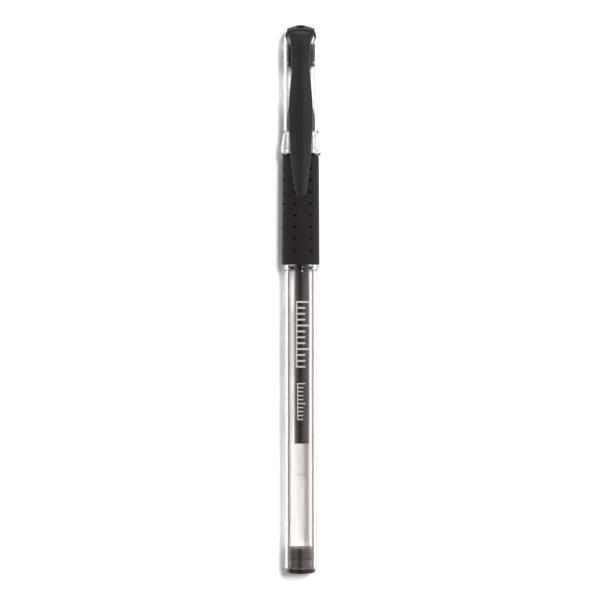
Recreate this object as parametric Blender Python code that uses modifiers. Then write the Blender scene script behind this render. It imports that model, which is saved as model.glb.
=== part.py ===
"""Capped stick gel pen, standing on its tail.

Axis along +Z, origin at the centre of the tail plug's flat end, pocket clip facing -Y. Metres.
"""

import math

import bmesh
import bpy

MM = 0.001

# Facets round each size of part
BODY_FACETS = 40
CORE_FACETS = 28
FINE_FACETS = 20

# Heights along the pen, from the flat end of the tail plug
FLANGE_TOP = 1.1
BARREL_END = 1.2
GRIP_BOTTOM, GRIP_TOP = 83.95, 113.9
BARREL_FRONT = 120.15
NOSE_BOTTOM, NOSE_TOP = 120.3, 134.3
SPIGOT_END = 108.5
MOUTH = 113.8
CAP_TUBE_TOP = 148.0
REFILL_TAIL = 8.5
REFILL_SHOULDER = 124.2
FOLLOWER_TAIL, INK_TAIL, INK_FRONT = 26.7, 35.2, 118.8
BALL_HEIGHT = 138.75

# Radii
BARREL_R, BARREL_BORE_R = 4.5, 3.62
GRIP_SEAT_R, GRIP_BORE_R = 4.12, 4.2
GRIP_TOP_R, GRIP_LIP_R = 4.98, 5.14
COLLAR_RING_R, COLLAR_R, COLLAR_BORE_R = 4.68, 4.14, 3.4
THREAD_BORE_R, THREAD_CREST_R, THREAD_ROOT_R = 2.95, 2.85, 2.65
NOSE_R, NOSE_BORE_R, NOSE_MOUTH_R = 3.95, 2.32, 1.28
CAP_R, CAP_BORE_R, CAP_FLARE_R = 4.85, 4.08, 5.58
STEM_R, STEM_HOLE_R, VENT_R = 2.85, 2.97, 1.15
INNER_CAP_R, INNER_CAP_BORE_R = 3.9, 1.5
TUBE_R, TUBE_BORE_R, INK_R = 2.12, 1.72, 1.64
TIP_R, BALL_R, BALL_SEAT_R = 1.18, 0.35, 0.38

# Vent hole and clip root, measured from the axis towards the front
VENT_Y = -0.8
SEAM_Y = -2.92
CLIP_PIVOT_HEIGHT = 147.25

# The notch in the cap tube that the clip's root passes through: its back, and its outline from the front
NOTCH_BACK = -1.2
NOTCH_OUTLINE = ((-3.9, 149.5), (-3.9, 145.95), (-3.0, 143.3), (3.0, 143.3), (3.9, 145.95), (3.9, 149.5))

# Dimples in the grip
DIMPLE_COLUMNS, DIMPLE_ROWS = 7, 8
DIMPLE_PITCH = 3.18
DIMPLE_FIRST = 87.7
DIMPLE_TURN = math.radians(32.0)
DIMPLE_R, DIMPLE_FLOOR_R, DIMPLE_DEPTH = 0.46, 0.24, 0.34

# Thread rings on the nose cone's spigot
THREAD_RINGS, THREAD_PITCH, THREAD_START = 4, 1.0, 109.4

# The crown's head from back to front: distance behind the axis, top at its sides, underside,
# half the width, and the rise of its top from its sides to its middle
CROWN_SECTIONS = (
    (3.72, 148.50, 148.1, 0.80, 0.10),
    (3.45, 148.62, 148.1, 1.60, 0.32),
    (2.92, 148.66, 148.1, 2.43, 0.58),
    (2.20, 148.66, 148.1, 3.10, 0.76),
    (1.30, 148.64, 148.1, 3.57, 0.85),
    (0.50, 148.62, 148.1, 3.77, 0.88),
    (0.00, 148.56, 148.1, 3.80, 0.80),
    (-0.70, 148.45, 148.1, 3.79, 0.60),
    (-1.34, 148.29, 148.1, 3.77, 0.41),
    (-1.38, 148.27, 146.0, 3.77, 0.41),
    (-2.00, 147.90, 146.0, 3.73, 0.37),
    (-2.50, 147.52, 146.0, 3.69, 0.33),
    (-2.92, 147.00, 146.0, 3.64, 0.28),
)

# The clip from its root to its tip: height, distance of the outer face in front of the axis,
# height and distance of the inner face, half the width, and the crowning of the outer face
CLIP_SECTIONS = (
    (146.95, 3.00, 146.00, 3.00, 3.60, 0.27),
    (146.45, 3.42, 145.50, 3.05, 3.37, 0.25),
    (145.88, 3.90, 145.00, 3.30, 3.18, 0.23),
    (145.15, 4.50, 144.40, 3.75, 3.00, 0.21),
    (144.40, 5.12, 143.90, 4.35, 2.88, 0.19),
    (143.62, 5.74, 143.45, 5.00, 2.79, 0.17),
    (142.80, 6.28, 142.80, 5.32, 2.71, 0.15),
    (141.90, 6.70, 142.00, 5.60, 2.63, 0.13),
    (140.90, 7.03, 141.00, 5.88, 2.56, 0.12),
    (139.80, 7.29, 139.80, 6.12, 2.51, 0.11),
    (138.20, 7.52, 138.20, 6.29, 2.48, 0.10),
    (136.20, 7.66, 136.20, 6.34, 2.50, 0.10),
    (134.40, 7.69, 134.40, 6.37, 2.64, 0.11),
    (131.70, 7.72, 131.70, 6.40, 2.85, 0.11),
    (129.80, 7.73, 129.80, 6.41, 3.03, 0.12),
    (127.60, 7.74, 127.60, 6.42, 3.18, 0.13),
    (124.80, 7.74, 124.80, 6.42, 3.25, 0.13),
    (122.10, 7.74, 122.10, 6.42, 3.24, 0.13),
    (119.40, 7.73, 119.40, 6.42, 3.11, 0.12),
    (116.60, 7.71, 116.60, 6.41, 2.92, 0.12),
    (113.10, 7.67, 113.10, 6.38, 2.70, 0.11),
    (111.20, 7.63, 111.20, 6.34, 2.46, 0.10),
    (109.30, 7.58, 109.30, 6.28, 2.20, 0.09),
    (107.50, 7.50, 107.50, 6.10, 1.98, 0.08),
    (106.40, 7.45, 106.40, 5.42, 1.83, 0.07),
    (104.80, 7.36, 104.80, 5.38, 1.62, 0.06),
    (103.70, 7.26, 103.90, 5.95, 1.44, 0.05),
    (102.90, 7.13, 103.00, 6.20, 1.20, 0.03),
    (102.30, 7.00, 102.40, 6.30, 0.86, 0.02),
    (102.05, 6.92, 102.10, 6.40, 0.52, 0.02),
)
CLIP_EDGE = 0.42


def new_collection(name):
    collection = bpy.data.collections.new(name)
    bpy.context.scene.collection.children.link(collection)
    return collection


def material(name, colour, roughness, alpha=1.0, metallic=0.0, transmission=0.0):
    made = bpy.data.materials.new(name)
    made.use_nodes = True
    shader = made.node_tree.nodes["Principled BSDF"]
    shader.inputs["Base Color"].default_value = (*colour, 1.0)
    shader.inputs["Roughness"].default_value = roughness
    shader.inputs["Metallic"].default_value = metallic
    shader.inputs["Transmission Weight"].default_value = transmission
    shader.inputs["Alpha"].default_value = alpha
    made.diffuse_color = (*colour, alpha)
    return made


def add(name, mesh, collection, surface=None, at=(0.0, 0.0, 0.0)):
    """An object of this mesh, with its origin at a point given in millimetres."""
    made = bpy.data.objects.new(name, mesh)
    made.location = [value * MM for value in at]
    collection.objects.link(made)
    if surface:
        mesh.materials.append(surface)
    return made


def cutter(name, mesh):
    made = add(name, mesh, CUTTERS)
    made.hide_render = True
    made.display_type = "WIRE"
    return made


def turned(name, profile, facets, surface, closed=True, at=(0.0, 0.0, 0.0)):
    """A turned piece: its (radius, height) profile runs down the outside and back up the inside."""
    mesh = bpy.data.meshes.new(name)
    points = [(r * MM, 0.0, (z - at[2]) * MM) for r, z in profile]
    edges = [(i, i + 1) for i in range(len(points) - 1)]
    if closed:
        edges.append((len(points) - 1, 0))
    mesh.from_pydata(points, edges, [])
    made = add(name, mesh, PIECES, surface, at)
    screw = made.modifiers.new("turn", "SCREW")
    screw.axis = "Z"
    screw.angle = math.tau
    screw.steps = facets
    screw.render_steps = facets
    screw.use_merge_vertices = True
    screw.merge_threshold = 1e-6
    screw.use_smooth_shade = True
    return made


def prism(name, outline, start, end):
    """A closed mesh: an outline of (x, y) points extruded from one height to another."""
    low = [(x, y, start) for x, y in outline]
    high = [(x, y, end) for x, y in outline]
    mesh = lofted(name, [low, high])
    mesh.shade_flat()
    return mesh


def boolean(made, other, operation):
    change = made.modifiers.new(f"{operation.lower()} {other.name}", "BOOLEAN")
    change.operation = operation
    change.solver = "EXACT"
    change.object = other


def half_outline(half_width, depth, crowning):
    """Half a section of the clip or the crown, from the middle of its outer face: (across, inwards)."""
    edge = min(CLIP_EDGE, 0.5 * half_width, 0.62 * depth)
    face = half_width - edge
    return (
        (0.0, -crowning),
        (0.4 * face, -0.84 * crowning),
        (0.75 * face, -0.44 * crowning),
        (face, 0.0),
        (half_width - 0.3 * edge, 0.3 * edge),
        (half_width, edge),
        (half_width, depth - 0.5 * edge),
        (half_width - 0.5 * edge, depth),
    )


def lofted(name, rings):
    """A closed mesh through rings of points in millimetres, with a flat face at each end."""
    form = bmesh.new()
    loops = []
    for ring in rings:
        loops.append([form.verts.new([value * MM for value in point]) for point in ring])
    for above, below in zip(loops, loops[1:]):
        for i in range(len(above)):
            j = (i + 1) % len(above)
            form.faces.new((above[i], above[j], below[j], below[i]))
    form.faces.new(loops[0])
    form.faces.new(loops[-1])
    bmesh.ops.recalc_face_normals(form, faces=form.faces)
    mesh = bpy.data.meshes.new(name)
    form.to_mesh(mesh)
    form.free()
    mesh.shade_smooth()
    return mesh


def section_ring(outer, inner, half_width, crowning):
    """One ring of a loft between an outer and an inner (y, z) point, rounded at its outer edges."""
    depth = math.hypot(outer[0] - inner[0], outer[1] - inner[1])
    inwards = ((inner[0] - outer[0]) / depth, (inner[1] - outer[1]) / depth)
    half = half_outline(half_width, depth, crowning)
    ring = []
    for side, points in ((1, half), (-1, half[:0:-1])):
        for across, down in points:
            ring.append((side * across, outer[0] + down * inwards[0], outer[1] + down * inwards[1]))
    return ring


def clip_mesh(pivot):
    """The clip, measured from its pivot."""
    rings = []
    for outer_z, outer_y, inner_z, inner_y, half_width, crowning in CLIP_SECTIONS:
        ring = section_ring((-outer_y, outer_z), (-inner_y, inner_z), half_width, crowning)
        rings.append([(x, y - pivot[1], z - pivot[2]) for x, y, z in ring])
    return lofted("clip", rings)


def dimple_cutter():
    """All the grip's dimples as one cutter: short tapered plugs that reach past the rubber's surface."""
    form = bmesh.new()
    sides = 8
    reach = 0.6
    for column in range(DIMPLE_COLUMNS):
        turn = DIMPLE_TURN + column * math.tau / DIMPLE_COLUMNS
        outwards = (math.sin(turn), -math.cos(turn))
        for row in range(DIMPLE_ROWS):
            height = DIMPLE_FIRST + row * DIMPLE_PITCH
            surface_r = grip_radius(height)
            slope = (DIMPLE_R - DIMPLE_FLOOR_R) / DIMPLE_DEPTH
            ends = (
                (surface_r - DIMPLE_DEPTH, DIMPLE_FLOOR_R),
                (surface_r + reach, DIMPLE_R + slope * reach),
            )
            rings = []
            for distance, size in ends:
                ring = []
                for k in range(sides):
                    angle = (k + 0.5) * math.tau / sides
                    side = size * math.cos(angle)
                    x = outwards[0] * distance - outwards[1] * side
                    y = outwards[1] * distance + outwards[0] * side
                    z = height + size * math.sin(angle)
                    ring.append(form.verts.new((x * MM, y * MM, z * MM)))
                rings.append(ring)
            for k in range(sides):
                j = (k + 1) % sides
                form.faces.new((rings[0][k], rings[0][j], rings[1][j], rings[1][k]))
            form.faces.new(rings[0])
            form.faces.new(rings[1])
    bmesh.ops.recalc_face_normals(form, faces=form.faces)
    mesh = bpy.data.meshes.new("grip_dimples")
    form.to_mesh(mesh)
    form.free()
    return cutter("grip_dimples", mesh)


def grip_radius(height):
    share = (height - GRIP_BOTTOM) / (GRIP_TOP - GRIP_BOTTOM)
    return GRIP_LIP_R + share * (GRIP_TOP_R - GRIP_LIP_R)


def thread_rings():
    """Profile points of the rings that stand in for the thread, from the top one down."""
    points = []
    for i in reversed(range(THREAD_RINGS)):
        middle = THREAD_START + i * THREAD_PITCH
        points += [
            (THREAD_ROOT_R, middle + 0.35),
            (THREAD_CREST_R, middle + 0.1),
            (THREAD_CREST_R, middle - 0.1),
            (THREAD_ROOT_R, middle - 0.35),
        ]
    return points


for old in list(bpy.data.objects):
    bpy.data.objects.remove(old, do_unlink=True)

PIECES = new_collection("gel_pen")
CUTTERS = new_collection("gel_pen_cutters")
CUTTERS.hide_render = True

CLEAR = dict(roughness=0.05, alpha=0.3, transmission=0.9)

barrel = turned(
    "barrel",
    [
        (COLLAR_BORE_R, BARREL_FRONT),
        (4.1, BARREL_FRONT),
        (4.25, BARREL_FRONT - 0.2),
        (4.25, 119.15),
        (COLLAR_R, 119.0),
        (COLLAR_R, 115.45),
        (COLLAR_RING_R - 0.08, 115.35),
        (COLLAR_RING_R, 115.2),
        (COLLAR_RING_R, 114.4),
        (COLLAR_RING_R - 0.15, 114.2),
        (GRIP_SEAT_R, 114.15),
        (GRIP_SEAT_R, GRIP_BOTTOM - 0.1),
        (4.85, GRIP_BOTTOM - 0.1),
        (4.95, 83.55),
        (4.86, 83.0),
        (4.6, 82.55),
        (BARREL_R, 82.2),
        (BARREL_R, BARREL_END + 0.25),
        (BARREL_R - 0.12, BARREL_END),
        (BARREL_BORE_R + 0.12, BARREL_END),
        (BARREL_BORE_R + 0.06, BARREL_END + 0.3),
        (BARREL_BORE_R + 0.06, 7.6),
        (BARREL_BORE_R, 8.2),
        (BARREL_BORE_R, 104.0),
        (THREAD_BORE_R, 106.0),
        (THREAD_BORE_R, 113.6),
        (COLLAR_BORE_R, 114.1),
    ],
    BODY_FACETS,
    material("clear plastic, barrel", (0.92, 0.92, 0.9), **CLEAR),
)

grip = turned(
    "grip",
    [
        (GRIP_BORE_R, GRIP_TOP),
        (4.3, GRIP_TOP),
        (4.66, 113.75),
        (4.87, 113.45),
        (GRIP_TOP_R, 112.95),
        (GRIP_LIP_R, GRIP_BOTTOM + 0.2),
        (GRIP_LIP_R - 0.12, GRIP_BOTTOM),
        (GRIP_BORE_R, GRIP_BOTTOM),
    ],
    BODY_FACETS,
    material("dark rubber", (0.032, 0.026, 0.024), roughness=0.62),
)
boolean(grip, dimple_cutter(), "DIFFERENCE")

turned(
    "tail_plug",
    [
        (0.0, 1.6),
        (2.6, 1.6),
        (2.7, 1.8),
        (2.7, 6.9),
        (3.2, 6.9),
        (3.38, 6.7),
        (3.4, 5.5),
        (3.6, 5.1),
        (3.62, 4.4),
        (3.36, 4.1),
        (3.36, 3.85),
        (3.52, 3.75),
        (3.54, FLANGE_TOP + 0.05),
        (3.9, FLANGE_TOP),
        (4.08, FLANGE_TOP - 0.15),
        (4.08, 0.15),
        (3.94, 0.0),
        (0.0, 0.0),
    ],
    BODY_FACETS,
    material("smoke plastic", (0.13, 0.085, 0.07), roughness=0.15, alpha=0.75),
    closed=False,
)

turned(
    "nose_cone",
    [
        (NOSE_MOUTH_R, NOSE_TOP),
        (1.42, NOSE_TOP),
        (1.52, NOSE_TOP - 0.15),
        (1.85, 132.5),
        (2.46, 129.9),
        (3.13, 127.4),
        (3.55, 125.9),
        (3.8, 124.8),
        (3.92, 124.0),
        (NOSE_R, 123.2),
        (NOSE_R, NOSE_BOTTOM + 0.1),
        (NOSE_R - 0.1, NOSE_BOTTOM),
        (THREAD_ROOT_R, NOSE_BOTTOM),
        *thread_rings(),
        (THREAD_ROOT_R, SPIGOT_END + 0.15),
        (THREAD_ROOT_R - 0.12, SPIGOT_END),
        (NOSE_BORE_R, SPIGOT_END),
        (NOSE_BORE_R, 125.6),
        (1.8, 126.2),
        (1.8, 130.9),
        (NOSE_MOUTH_R, 131.5),
    ],
    CORE_FACETS,
    material("black plastic, nose", (0.012, 0.012, 0.012), roughness=0.3),
)

turned(
    "refill_tube",
    [
        (TUBE_BORE_R, REFILL_SHOULDER),
        (TUBE_R, REFILL_SHOULDER),
        (TUBE_R, REFILL_TAIL),
        (TUBE_BORE_R, REFILL_TAIL),
    ],
    CORE_FACETS,
    material("translucent plastic, refill", (0.85, 0.85, 0.83), **CLEAR),
)

turned(
    "ink_column",
    [
        (0.0, INK_FRONT),
        (INK_R, INK_FRONT),
        (INK_R, INK_TAIL),
        (0.0, INK_TAIL),
    ],
    CORE_FACETS,
    material("black ink", (0.008, 0.008, 0.009), roughness=0.2),
    closed=False,
)

turned(
    "ink_follower",
    [
        (0.0, INK_TAIL - 0.1),
        (INK_R, INK_TAIL - 0.1),
        (INK_R, FOLLOWER_TAIL - 0.3),
        (1.3, FOLLOWER_TAIL),
        (0.7, FOLLOWER_TAIL + 0.28),
        (0.0, FOLLOWER_TAIL + 0.38),
    ],
    CORE_FACETS,
    material("clear grease", (0.85, 0.86, 0.82), **CLEAR),
    closed=False,
)

turned(
    "tip_holder",
    [
        (0.96, 130.6),
        (1.5, 130.6),
        (1.66, 130.4),
        (1.66, 126.1),
        (2.1, 125.4),
        (2.1, REFILL_SHOULDER + 0.1),
        (INK_R, REFILL_SHOULDER + 0.1),
        (INK_R, 119.3),
        (INK_R - 0.14, 119.0),
        (0.55, 119.0),
        (0.55, 127.3),
        (0.96, 127.3),
    ],
    FINE_FACETS,
    material("natural plastic, tip holder", (0.62, 0.62, 0.58), roughness=0.4),
)

turned(
    "writing_tip",
    [
        (BALL_SEAT_R, 138.85),
        (BALL_SEAT_R + 0.06, 138.85),
        (0.56, 138.2),
        (TIP_R, 134.9),
        (TIP_R, 130.75),
        (0.9, 130.7),
        (0.9, 127.5),
        (0.3, 127.5),
        (0.3, 137.3),
        (0.2, 137.6),
        (0.2, 138.3),
        (BALL_SEAT_R, 138.45),
    ],
    FINE_FACETS,
    material("nickel silver", (0.62, 0.6, 0.56), roughness=0.25, metallic=1.0),
)

ball_form = bmesh.new()
bmesh.ops.create_uvsphere(ball_form, u_segments=12, v_segments=8, radius=BALL_R * MM)
ball_mesh = bpy.data.meshes.new("ball")
ball_form.to_mesh(ball_mesh)
ball_form.free()
ball_mesh.shade_smooth()
add(
    "ball",
    ball_mesh,
    PIECES,
    material("carbide", (0.45, 0.45, 0.46), roughness=0.2, metallic=1.0),
    (0.0, 0.0, BALL_HEIGHT),
)

cap_tube = turned(
    "cap_tube",
    [
        (STEM_HOLE_R, CAP_TUBE_TOP),
        (3.6, CAP_TUBE_TOP),
        (3.9, 147.85),
        (4.3, 147.15),
        (4.6, 146.35),
        (4.78, 145.6),
        (CAP_R, 144.8),
        (CAP_R, 120.6),
        (4.93, 119.5),
        (5.12, 118.0),
        (5.38, 116.4),
        (5.54, 115.4),
        (CAP_FLARE_R, 114.9),
        (5.52, 114.3),
        (5.34, 113.9),
        (5.14, MOUTH),
        (4.98, 114.0),
        (4.9, 114.6),
        (4.84, 115.8),
        (4.66, 117.6),
        (4.5, 119.0),
        (4.42, 119.6),
        (4.2, 120.4),
        (4.12, 121.1),
        (CAP_BORE_R, 122.0),
        (CAP_BORE_R, 145.0),
        (3.95, 145.9),
        (3.6, 146.75),
        (3.2, 147.25),
        (STEM_HOLE_R, 147.35),
    ],
    BODY_FACETS,
    material("clear plastic, cap", (0.92, 0.92, 0.9), **CLEAR),
)
notch_rings = [[(x, y, z) for x, z in NOTCH_OUTLINE] for y in (NOTCH_BACK, -CAP_R - 1.0)]
notch = cutter("clip_notch", lofted("clip_notch", notch_rings))
boolean(cap_tube, notch, "DIFFERENCE")

# The crown: a stem in the tube, under a head whose top slopes down to the root of the clip
cap_crown = turned(
    "cap_crown",
    [
        (0.0, 148.3),
        (2.0, 148.3),
        (STEM_R, 147.2),
        (STEM_R, 144.4),
        (STEM_R - 0.15, 144.2),
        (0.0, 144.2),
    ],
    CORE_FACETS,
    material("black plastic, crown", (0.014, 0.015, 0.016), roughness=0.32),
    closed=False,
)
head_rings = []
for back, top, underside, half_width, rise in CROWN_SECTIONS:
    head_rings.append(section_ring((back, top), (back, underside), half_width, rise))
head = cutter("crown_head", lofted("crown_head", head_rings))
vent_outline = [
    (VENT_R * math.cos(k * math.tau / 20), VENT_Y + VENT_R * math.sin(k * math.tau / 20))
    for k in range(20)
]
vent = cutter("vent_hole", prism("vent_hole", vent_outline, 143.0, 151.0))
boolean(cap_crown, head, "UNION")
boolean(cap_crown, vent, "DIFFERENCE")

turned(
    "inner_cap",
    [
        (0.0, 144.0),
        (3.75, 144.0),
        (INNER_CAP_R, 143.8),
        (INNER_CAP_R, 139.3),
        (3.1, 139.25),
        (3.1, 138.9),
        (3.85, 138.8),
        (3.85, 138.15),
        (2.85, 138.1),
        (2.75, 137.4),
        (1.75, 137.3),
        (INNER_CAP_BORE_R, 137.6),
        (INNER_CAP_BORE_R, 141.1),
        (0.0, 141.1),
    ],
    CORE_FACETS,
    material("dark plastic, inner cap", (0.02, 0.018, 0.017), roughness=0.35),
    closed=False,
)

turned(
    "tip_seal",
    [
        (0.0, 141.0),
        (INNER_CAP_BORE_R - 0.07, 141.0),
        (INNER_CAP_BORE_R - 0.07, 139.55),
        (1.2, 139.4),
        (0.0, 139.4),
    ],
    FINE_FACETS,
    material("soft rubber, seal", (0.35, 0.34, 0.32), roughness=0.6),
    closed=False,
)

pivot = (0.0, SEAM_Y, CLIP_PIVOT_HEIGHT)
clip = add(
    "clip",
    clip_mesh(pivot),
    PIECES,
    material("black plastic, clip", (0.016, 0.019, 0.02), roughness=0.3),
    pivot,
)

for piece in PIECES.objects:
    if piece is not barrel:
        piece.parent = barrel
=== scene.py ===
import math

import bmesh
import bpy
import numpy as np
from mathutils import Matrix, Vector


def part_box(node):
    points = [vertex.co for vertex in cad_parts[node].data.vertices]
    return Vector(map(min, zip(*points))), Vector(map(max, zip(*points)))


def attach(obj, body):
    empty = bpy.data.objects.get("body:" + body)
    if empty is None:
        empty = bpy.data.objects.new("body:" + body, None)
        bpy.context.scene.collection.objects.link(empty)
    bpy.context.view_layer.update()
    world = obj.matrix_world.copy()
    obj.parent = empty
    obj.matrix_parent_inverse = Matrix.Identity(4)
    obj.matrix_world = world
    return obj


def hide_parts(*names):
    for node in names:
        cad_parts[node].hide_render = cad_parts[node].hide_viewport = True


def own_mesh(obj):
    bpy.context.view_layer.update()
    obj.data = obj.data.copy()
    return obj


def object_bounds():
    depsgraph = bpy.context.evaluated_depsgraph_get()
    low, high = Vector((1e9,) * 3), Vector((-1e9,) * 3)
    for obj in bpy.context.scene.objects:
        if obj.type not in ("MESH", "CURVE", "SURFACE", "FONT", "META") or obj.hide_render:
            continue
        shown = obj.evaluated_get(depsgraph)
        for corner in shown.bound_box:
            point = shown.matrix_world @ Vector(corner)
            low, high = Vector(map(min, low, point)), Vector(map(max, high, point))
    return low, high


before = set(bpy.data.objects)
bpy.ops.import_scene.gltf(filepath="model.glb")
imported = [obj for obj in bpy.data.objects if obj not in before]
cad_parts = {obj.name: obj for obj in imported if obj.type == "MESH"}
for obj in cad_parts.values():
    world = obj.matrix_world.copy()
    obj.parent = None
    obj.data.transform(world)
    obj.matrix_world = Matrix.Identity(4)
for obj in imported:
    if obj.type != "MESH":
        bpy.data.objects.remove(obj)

cad_low, cad_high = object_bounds()
MM = 0.001
ROUND = 144
CORE = 96

# ---------------------------------------------------------------- places from the CAD


def span(node):
    """Lowest height, highest height and largest radius of a turned CAD node, in millimetres."""
    low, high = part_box(node)
    return low.z / MM, high.z / MM, max(high.x, -low.x) / MM


# ---------------------------------------------------------------- mesh helpers


def filleted(profile, closed, steps=5, support=0.12):
    """A (radius, height, fillet) profile with its corners rounded and long runs given end loops."""
    count = len(profile)
    corners = []
    for i, point in enumerate(profile):
        here = np.array(point[:2], float)
        fillet = point[2] if len(point) > 2 else 0.0
        if fillet <= 0 or (not closed and i in (0, count - 1)):
            corners.append([here])
            continue
        before = np.array(profile[i - 1][:2], float)
        after = np.array(profile[(i + 1) % count][:2], float)
        a, b = before - here, after - here
        la, lb = np.linalg.norm(a), np.linalg.norm(b)
        a, b = a / la, b / lb
        half = math.acos(max(-1.0, min(1.0, float(a @ b)))) / 2
        if half > math.radians(87):
            corners.append([here])
            continue
        reach = min(fillet / math.tan(half), 0.48 * la, 0.48 * lb)
        radius = reach * math.tan(half)
        bisector = (a + b) / np.linalg.norm(a + b)
        centre = here + bisector * radius / math.sin(half)
        start, end = here + a * reach, here + b * reach
        t0 = math.atan2(*(start - centre)[::-1])
        t1 = math.atan2(*(end - centre)[::-1])
        turn = (t1 - t0 + math.pi) % math.tau - math.pi
        arc = []
        for k in range(steps + 1):
            t = t0 + turn * k / steps
            arc.append(centre + radius * np.array([math.cos(t), math.sin(t)]))
        corners.append(arc)
    out = []
    for i, arc in enumerate(corners):
        out += arc
        if not closed and i == count - 1:
            break
        end, start = arc[-1], corners[(i + 1) % count][0]
        length = np.linalg.norm(start - end)
        if length > 4 * support:
            step = (start - end) / length * support
            out += [end + step, start - step]
    return [(max(0.0, float(r)), float(z)) for r, z in out]


def turned(name, profile, around=ROUND, closed=True, centre=(0.0, 0.0), lean=None):
    """A turned mesh. Its profile runs down the outside and back up the inside, in millimetres.

    lean(z) gives a sideways offset of the axis at each height."""
    points = filleted(profile, closed)
    angles = np.arange(around) * math.tau / around
    verts, rings = [], []
    for r, z in points:
        dx = lean(z) if lean else 0.0
        if r < 1e-6:
            rings.append([len(verts)])
            verts.append(((centre[0] + dx) * MM, centre[1] * MM, z * MM))
            continue
        rings.append(list(range(len(verts), len(verts) + around)))
        for t in angles:
            x, y = centre[0] + dx + r * math.cos(t), centre[1] + r * math.sin(t)
            verts.append((x * MM, y * MM, z * MM))
    faces = []
    pairs = list(zip(rings, rings[1:]))
    if closed:
        pairs.append((rings[-1], rings[0]))
    for upper, lower in pairs:
        for k in range(around):
            j = (k + 1) % around
            if len(upper) == 1 and len(lower) == 1:
                continue
            if len(upper) == 1:
                faces.append((upper[0], lower[k], lower[j]))
            elif len(lower) == 1:
                faces.append((upper[k], lower[0], upper[j]))
            else:
                faces.append((upper[k], lower[k], lower[j], upper[j]))
    return finished(name, verts, faces)


def finished(name, verts, faces, sharp=32):
    """An object of these vertices and faces, facing out, smooth but for its sharp edges."""
    mesh = bpy.data.meshes.new(name)
    mesh.from_pydata(verts, [], faces)
    form = bmesh.new()
    form.from_mesh(mesh)
    bmesh.ops.recalc_face_normals(form, faces=form.faces)
    form.to_mesh(mesh)
    form.free()
    mesh.shade_smooth()
    mesh.set_sharp_from_angle(angle=math.radians(sharp))
    made = bpy.data.objects.new(name, mesh)
    bpy.context.scene.collection.objects.link(made)
    return made


def smooth_rows(rows, between):
    """Rows of numbers with more rows between them, along a Catmull-Rom curve through each column."""
    rows = np.array(rows, float)
    padded = np.vstack([2 * rows[0] - rows[1], rows, 2 * rows[-1] - rows[-2]])
    out = []
    for i in range(1, len(padded) - 2):
        p0, p1, p2, p3 = padded[i - 1 : i + 3]
        for k in range(between):
            t = k / between
            out.append(
                0.5
                * (
                    2 * p1
                    + (p2 - p0) * t
                    + (2 * p0 - 5 * p1 + 4 * p2 - p3) * t * t
                    + (3 * p1 - p0 - 3 * p2 + p3) * t**3
                )
            )
    out.append(rows[-1])
    return np.array(out)


def lofted(name, rings):
    """A closed mesh through equal rings of points in millimetres, with a face at each end."""
    size = len(rings[0])
    verts = [tuple(value * MM for value in point) for ring in rings for point in ring]
    faces = []
    for i in range(len(rings) - 1):
        for k in range(size):
            j = (k + 1) % size
            faces.append((i * size + k, i * size + j, (i + 1) * size + j, (i + 1) * size + k))
    faces.append(tuple(range(size)))
    faces.append(tuple(range((len(rings) - 1) * size, len(rings) * size)))
    return finished(name, verts, faces, sharp=50)


def cut(obj, other, operation="DIFFERENCE"):
    """Applies a Boolean and removes the other object."""
    change = obj.modifiers.new("cut", "BOOLEAN")
    change.operation = operation
    change.solver = "EXACT"
    change.object = other
    bpy.context.view_layer.update()
    graph = bpy.context.evaluated_depsgraph_get()
    mesh = bpy.data.meshes.new_from_object(obj.evaluated_get(graph))
    obj.modifiers.clear()
    old = obj.data
    obj.data = mesh
    mesh.name = obj.name
    bpy.data.meshes.remove(old)
    bpy.data.objects.remove(other, do_unlink=True)
    mesh.shade_smooth()
    mesh.set_sharp_from_angle(angle=math.radians(32))
    return obj


# ---------------------------------------------------------------- materials


def nodes_of(name):
    made = bpy.data.materials.new(name)
    made.use_nodes = True
    tree = made.node_tree
    return made, tree, tree.nodes["Principled BSDF"]


def coordinates(tree, stretch=(1.0, 1.0, 1.0)):
    """Object coordinates in millimetres, stretched."""
    coord = tree.nodes.new("ShaderNodeTexCoord")
    mapping = tree.nodes.new("ShaderNodeMapping")
    mapping.inputs["Scale"].default_value = [1000.0 * s for s in stretch]
    tree.links.new(coord.outputs["Object"], mapping.inputs["Vector"])
    return mapping.outputs["Vector"]


def noise(tree, vector, scale, detail=3.0, rough=0.55):
    made = tree.nodes.new("ShaderNodeTexNoise")
    made.inputs["Scale"].default_value = scale
    made.inputs["Detail"].default_value = detail
    made.inputs["Roughness"].default_value = rough
    tree.links.new(vector, made.inputs["Vector"])
    return made.outputs["Fac"]


def ranged(tree, value, low, high, start=0.0, end=1.0):
    made = tree.nodes.new("ShaderNodeMapRange")
    made.inputs["From Min"].default_value = start
    made.inputs["From Max"].default_value = end
    made.inputs["To Min"].default_value = low
    made.inputs["To Max"].default_value = high
    tree.links.new(value, made.inputs["Value"])
    return made.outputs["Result"]


def mixed(tree, factor, a, b):
    made = tree.nodes.new("ShaderNodeMix")
    made.data_type = "RGBA"
    tree.links.new(factor, made.inputs["Factor"])
    made.inputs["A"].default_value = (*a, 1.0)
    made.inputs["B"].default_value = (*b, 1.0)
    return made.outputs["Result"]


def bumped(tree, shader, height, distance):
    """Relief of this height, in millimetres."""
    made = tree.nodes.new("ShaderNodeBump")
    made.inputs["Distance"].default_value = distance * MM
    made.inputs["Strength"].default_value = 1.0
    tree.links.new(height, made.inputs["Height"])
    tree.links.new(made.outputs["Normal"], shader.inputs["Normal"])


def edge_of(tree, start, end):
    """How far a surface is turned edge-on, from 0 to 1 between these two facings."""
    weight = tree.nodes.new("ShaderNodeLayerWeight")
    return ranged(tree, weight.outputs["Facing"], 0.0, 1.0, start, end)


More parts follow.
